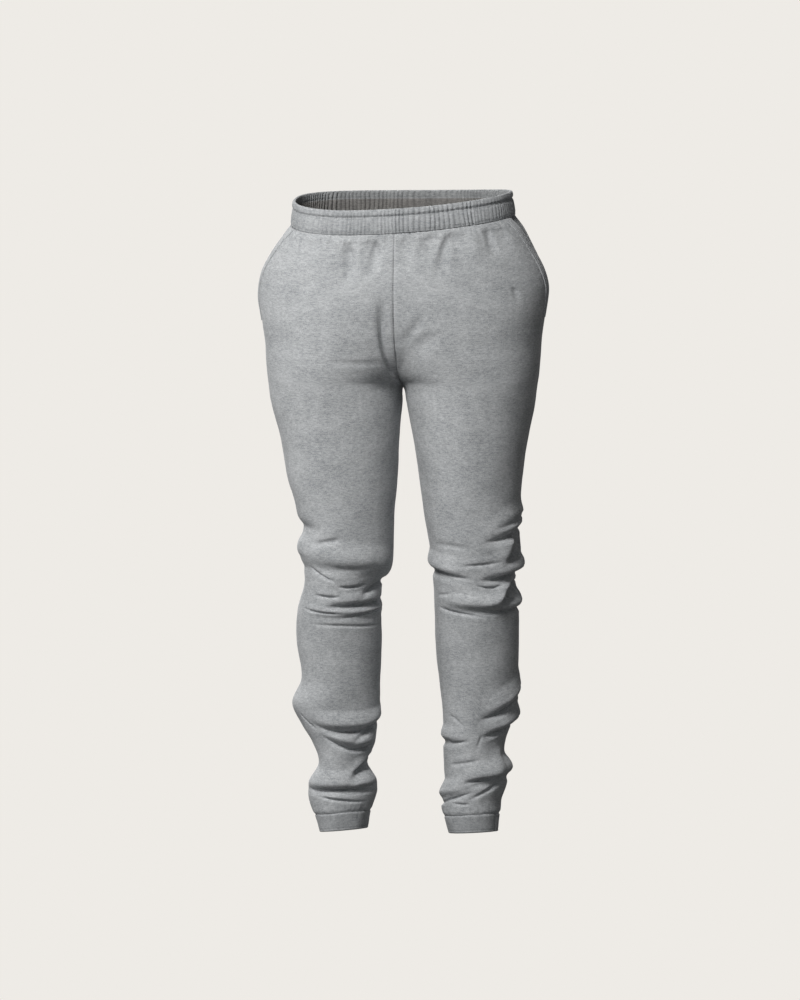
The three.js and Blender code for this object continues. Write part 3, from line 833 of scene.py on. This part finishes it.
def panel(side, which):
    """A front or back panel: cloth between its two seams, with their grooves and the mouth's gape."""
    share = np.linspace(0, 1, PANEL_COLUMNS + 1)[None, :]
    level = LEVELS[:, None] + 0 * share
    if which == "front":
        angle = front_angles(side, share, level)
        gape = mouth_gape(angle, level)
    else:
        angle = mix(90.0, 90 + section(side, level)[4], share)
        gape = 0
    height = row_height(side, angle, level)
    across = arc_lengths(side, angle, level)
    away = across[:, -1:] - across
    sewn = smooth((MOUTH_END + 12 - level) / 12) if which == "front" else 1
    inner_seam = across if which == "front" else away
    side_seam = away if which == "front" else across
    dip = groove(side_seam, np.minimum(height, CROTCH)) * sewn + groove(inner_seam, height)
    dip = dip + rise_seam(side, inner_seam, level)
    if (side, which) == ("right", "front"):
        dip = dip + crotch_valley(inner_seam, level)
    outer = cloth_point(side, angle, height, dip + gape)
    inner = cloth_point(side, angle, height, dip + gape - CLOTH)
    meet(outer, inner, inner_seam, level, 0 if which == "front" else -1)
    wall = make_wall(f"cloth_{which}_{side}", side, outer, inner, np.stack([across, level], -1), BODY)
    count = (len(LEVELS) - 1) * PANEL_COLUMNS
    place = np.arange(len(wall.data.polygons))
    # The panel's inner face takes the darker inside finish: painted shade.
    paint_shade_inside(wall, INSIDE_PAINTED_SHADE, (place >= count) & (place < 2 * count))
    return wall


def mouth_point(side, height, back, offset):
    """A point a distance in front of the pocket mouth's edge, along the hip, and an offset out."""
    _, half_width, _, half_depth, _ = section(side, height)
    angle = mouth_angle(height) - np.degrees(back / np.hypot(half_depth * 0.99, half_width * 0.12))
    return cloth_point(side, angle, height, offset + mouth_gape(angle, height))


def mouth_hem(side):
    """The mouth's folded edge: a strip sewn over the front panel's edge and round to its inside."""
    level = np.linspace(BAND_BOTTOM - 1, MOUTH_END + 2, 90)
    turn = np.linspace(0, np.pi, 9)[1:-1]
    radius = (MOUTH_HEM_CLOTH * 2 + CLOTH + 0.4) / 2
    middle = -CLOTH / 2
    lead = np.linspace(MOUTH_HEM_WIDTH, 0, 18)
    inside = np.linspace(0, 7, 6)
    back = np.concatenate([lead, -radius * np.sin(turn), inside])
    thin = radius - MOUTH_HEM_CLOTH
    back_in = np.concatenate([lead, -thin * np.sin(turn), inside])
    rest = np.concatenate([turn, inside]) * 0
    edge = np.concatenate([MOUTH_HEM_CLOTH * 0.7 * bell((MOUTH_HEM_WIDTH - lead) / 1.2), rest])
    stitched = np.concatenate([sum(0.45 * bell((lead - at) / 1.3) for at in MOUTH_HEM_STITCHES), rest])
    high = np.concatenate([lead * 0 + radius, radius * np.cos(turn), inside * 0 - radius]) + middle
    high = high - edge - stitched
    low = np.concatenate([lead * 0 + thin, thin * np.cos(turn), inside * 0 - thin]) + middle
    height = level[:, None] + 0 * back[None, :]
    outer = mouth_point(side, height, back[None, :], high[None, :])
    inner = mouth_point(side, height, back_in[None, :], low[None, :])
    uv = np.stack([back[None, :] + 0 * height, height], -1)
    hem = make_wall(f"mouth_hem_{side}", side, outer, inner, uv, BODY)
    rows = []
    top = radius + middle - 0.4
    fine = np.linspace(BAND_BOTTOM - 3, MOUTH_END + 4, 300)
    for at in MOUTH_HEM_STITCHES:
        path = mouth_point(side, fine, at, top)
        rows.append((path, mouth_point(side, fine, at, top + 1) - path))
    stitches = stitch_object(f"mouth_stitches_{side}", rows, *MOUTH_STITCH, THREAD)
    return hem, stitches


def under_stitches(side):
    """The row of stitches that holds the waistband's seam down, a little under it, in front and behind."""
    height = np.full(500, BAND_BOTTOM - UNDER_BAND_STITCH)
    reach = section(side, height[:1])[4][0]
    rows = []
    for first, last in ((90 - reach + 0.4, mouth_angle(height[0]) - 7), (91, 90 + reach - 0.4)):
        angle = np.linspace(first, last, 500)
        path = cloth_point(side, angle, height, mouth_gape(angle, height) * (angle < 90) + 0.15)
        over = cloth_point(side, angle, height, mouth_gape(angle, height) * (angle < 90) + 1.15)
        rows.append((path, over - path))
    return stitch_object(f"under_band_stitches_{side}", rows, *BAND_STITCH, THREAD)


def pocket_bag(side):
    """The pocket's bag: it hangs inside the front panel and comes out to the side seam behind the mouth."""
    share = np.linspace(0, 1, 41)[None, :]
    level = np.linspace(BAND_BOTTOM - 1, BAG_BOTTOM, 90)[:, None] + 0 * share
    angle = mix(front_angles(side, BAG_START, level), 90.0, share)
    out = smooth((angle - mouth_angle(level) + 2) / np.maximum(90 - mouth_angle(level), 4))
    depth = mix(-CLOTH - 2.4, -1.3, out)
    outer = cloth_point(side, angle, level, depth)
    inner = cloth_point(side, angle, level, depth - BAG_CLOTH)
    across = arc_lengths(side, angle, level)
    return make_wall(f"pocket_bag_cloth_{side}", side, outer, inner, np.stack([across, level], -1), BAG)


def band_point(angle, height, offset):
    x, y, z = oval_point("left", angle, height, offset)
    return stand("left", x, y, z)


def band_gathers(angle, height):
    """The waistband's gathers, deepest where it is gathered most."""
    return gather_zone(angle) * BAND_GATHER_DEPTH * flutes(angle, BAND_GATHERS, height)


def band_swell(angle):
    """Slow swells round the waistband."""
    a = np.radians(angle)
    return 0.35 * np.sin(4 * a + 1) + 0.2 * np.sin(9 * a)


def waistband():
    """The elastic waistband: outer face, rounded top edge and inner face, gathered, its stitches sunk in."""
    edge = BAND_TOP - BAND_EDGE
    outer_heights = np.linspace(BAND_BOTTOM, edge, 26)
    inner_heights = np.linspace(edge, BAND_BOTTOM + 0.5, 20)
    turn = np.linspace(0, np.pi, 9)[1:-1]
    heights = np.concatenate([outer_heights, edge + BAND_EDGE * np.sin(turn), inner_heights])
    sunk = 1.7 * bell((outer_heights - sum(BAND_STITCH_HEIGHTS) / 2) / 3.6)
    sunk = sunk + 0.6 * bell((outer_heights - BAND_LOWER_STITCH) / 1.6)
    puffed = 0.7 * bell((outer_heights - 23.5) / 5) + 0.6 * bell((outer_heights - 6) / 10)
    outer = 0.1 + 1.7 * smooth((outer_heights - BAND_BOTTOM + 1) / 7) - sunk + puffed
    inner = -3 + 0.8 * bell((inner_heights - BAND_INNER_STITCH) / 2) + 0.3 * smooth((8 - inner_heights) / 16)
    offset = np.concatenate([outer, -0.35 + 2.65 * np.cos(turn), inner])
    share = np.concatenate([
        smooth((outer_heights - BAND_BOTTOM + 1) / 4) * (1 - 0.55 * np.clip(sunk, 0, 1)),
        0.65 + 0 * turn,
        -0.95 + 0.5 * bell((inner_heights - BAND_INNER_STITCH) / 2),
    ])
    angle = np.arange(BAND_COLUMNS) * 360 / BAND_COLUMNS
    grid_height = heights[:, None] + 0 * angle[None, :]
    wave = share[:, None] * band_gathers(angle, grid_height)
    signed = np.mod(angle + 180, 360) - 180
    front_seams = -0.9 * bell((np.abs(signed) - BAND_SEAM_ANGLE) / 0.8) * (share[:, None] > 0)
    lift = offset[:, None] + wave + front_seams + band_swell(angle)
    points = band_point(angle[None, :] + 0 * grid_height, grid_height, lift)
    round_waist = 2.49 * angle
    along = np.concatenate([outer_heights, BAND_TOP + 4 * turn / np.pi, BAND_TOP * 2 + 4 - inner_heights])
    uv = np.stack(np.broadcast_arrays(round_waist[None, :], along[:, None]), -1)
    band = make_ring("cloth_waistband", "right", points, uv, BAND)
    station = np.arange(len(band.data.polygons)) // BAND_COLUMNS
    header = np.count_nonzero(inner_heights > BAND_INNER_STITCH)
    first = len(outer_heights) + len(turn) - 2
    # The inner header strip takes the darker header finish: painted shade.
    paint_shade_inside(band, HEADER_PAINTED_SHADE, (station >= first) & (station < first + 2 + header))
    # The inner face below the header takes the darker inside finish: painted shade.
    paint_shade_inside(band, INSIDE_PAINTED_SHADE, station >= first + 2 + header)
    rows = []
    fine = np.linspace(0, 360, 3001)
    places = [(height, 1.3, 1) for height in [*BAND_STITCH_HEIGHTS, BAND_LOWER_STITCH]]
    for at, top, sign in [*places, (BAND_INNER_STITCH, -2.5, -1)]:
        height = at + 0 * fine
        lift = top + 0.42 * sign * band_gathers(fine, height) + band_swell(fine)
        path = band_point(fine, height, lift)
        rows.append((path, sign * (band_point(fine, height, lift + 1) - path)))
    stitches = stitch_object("waistband_stitches", rows, *BAND_STITCH, THREAD)
    return band, stitches


def cuff_swell(side, angle, height):
    """Slow swells round a cuff, and a soft fold beside the left one's seam."""
    a = np.radians(angle)
    swell = 0.48 * np.sin(3 * a + PHASE[side]) + 0.24 * np.sin(7 * a + height / 9)
    if side == "left":
        swell = swell - 1.4 * bell((angle - 66) / 4) + 1.6 * bell((angle - 82) / 16)
    return swell


def cuff(side):
    """The plain cuff: a doubled strip with a stitched edge and slight puckers under its seam."""
    outer_heights = np.linspace(CUFF_SEAM + 0.5, CUFF_BOTTOM + 2, 26)
    inner_heights = np.linspace(CUFF_BOTTOM + 2, CUFF_SEAM, 14)
    turn = np.linspace(0, np.pi, 7)[1:-1]
    heights = np.concatenate([outer_heights, CUFF_BOTTOM + 2 - 2 * np.sin(turn), inner_heights])
    sunk = 0.5 * bell((outer_heights - CUFF_BOTTOM - CUFF_STITCH_HEIGHT) / 1.5)
    outer = -0.5 + 1.9 * smooth((CUFF_SEAM + 1 - outer_heights) / 3.5) - sunk
    offset = np.concatenate([outer, -0.5 + 1.9 * np.cos(turn), -2.4 + 0 * inner_heights])
    angle = np.arange(CUFF_COLUMNS) * 360 / CUFF_COLUMNS
    height = heights[:, None] + 0 * angle[None, :]
    pucker = 0.35 * flutes(angle, 26, height) * bell((CUFF_SEAM - height) / 14)
    lift = offset[:, None] + pucker + cuff_swell(side, angle, height)
    points = stand(side, *oval_point(side, angle[None, :] + 0 * height, height, lift))
    under = 2 * CUFF_BOTTOM - 3 - inner_heights
    along = np.concatenate([outer_heights, CUFF_BOTTOM - 3 * turn / np.pi, under])
    uv = np.stack(np.broadcast_arrays((0.9 * angle)[None, :], along[:, None]), -1)
    ring = make_ring(f"cloth_cuff_{side}", side, points, uv, CUFF)
    fine = np.linspace(0, 360, 1201)
    level = CUFF_BOTTOM + CUFF_STITCH_HEIGHT + 0 * fine
    swell = cuff_swell(side, fine, level)
    path = stand(side, *oval_point(side, fine, level, 1.0 + swell))
    out = stand(side, *oval_point(side, fine, level, 2.0 + swell)) - path
    stitches = stitch_object(f"cuff_stitches_{side}", [(path, out)], *CUFF_STITCH, THREAD)
    return ring, stitches


for side in SIGN:
    front = dress(panel(side, "front"), f"front_{side}")
    back = dress(panel(side, "back"), f"back_{side}")
    hem, hem_stitches = mouth_hem(side)
    dress(hem, f"pocket_hem_{side}")
    dress(hem_stitches)
    band_row = dress(under_stitches(side))
    bag = dress(pocket_bag(side), f"pocket_bag_{side}")
    ring, ring_stitches = cuff(side)
    dress(ring, f"cuff_{side}")
    dress(ring_stitches)

band, band_stitches = waistband()
dress(band, "waistband")
dress(band_stitches)


# Stage


def backdrop():
    """A pale round floor that sweeps up all round into a wall, one even cream."""
    turn = np.linspace(0, np.pi / 2, 13)
    outside = FLOOR_RADIUS + WALL_SWEEP
    radius = np.concatenate([[0.00001, 4], FLOOR_RADIUS + WALL_SWEEP * np.sin(turn), [outside]])[:, None]
    rise = np.concatenate([[0, 0], WALL_SWEEP - WALL_SWEEP * np.cos(turn), [WALL_TOP]])[:, None]
    angle = np.radians(np.arange(0, 360, 5))[None, :]
    rings = np.stack(np.broadcast_arrays(radius * np.cos(angle), radius * np.sin(angle), rise + FLOOR), -1)
    points = rings.reshape(-1, 3) / MM
    paper = glowing("pale_cream_paper", 0xEEEBE6)
    quads = grid_quads(len(radius), angle.size, closed=True)
    thing = make_object("studio_floor", points, quads, points[:, :2], paper)
    thing.visible_diffuse = False
    thing.visible_glossy = False
    thing.visible_shadow = False
    return thing


def area_light(name):
    """A square light from the table of lights, pointed at its target."""
    place, target, size, power, color = LIGHTS[name]
    data = bpy.data.lights.new(name, "AREA")
    data.shape = "SQUARE"
    data.size = size
    data.energy = power
    data.color = linear(color)[:3]
    light = bpy.data.objects.new(name, data)
    light.location = place
    light.visible_camera = False
    light.rotation_euler = (Vector(target) - Vector(place)).to_track_quat("-Z", "Y").to_euler()
    bpy.context.scene.collection.objects.link(light)
    return light


floor = backdrop()
key = area_light("key_light")
fill = area_light("fill_light")
side_light = area_light("side_light")
back_light = area_light("back_light")
back_fill = area_light("back_fill")

world = bpy.data.worlds.new("studio_air")
world.use_nodes = True
world.node_tree.nodes["Background"].inputs["Color"].default_value = linear(AIR_COLOR)
world.node_tree.nodes["Background"].inputs["Strength"].default_value = AIR_STRENGTH
bpy.context.scene.world = world
bpy.context.scene.view_settings.view_transform = "Standard"

camera_data = bpy.data.cameras.new("camera")
camera_data.lens = CAMERA_LENS
camera_data.sensor_width = 36
camera_data.shift_x, camera_data.shift_y = CAMERA_SHIFT
camera_data.clip_end = 60
camera = bpy.data.objects.new("camera", camera_data)
camera.location = CAMERA_AT
camera.rotation_euler = (Vector(CAMERA_AIM) - Vector(CAMERA_AT)).to_track_quat("-Z", "Y").to_euler()
bpy.context.scene.collection.objects.link(camera)
bpy.context.scene.camera = camera

bpy.context.view_layer.update()
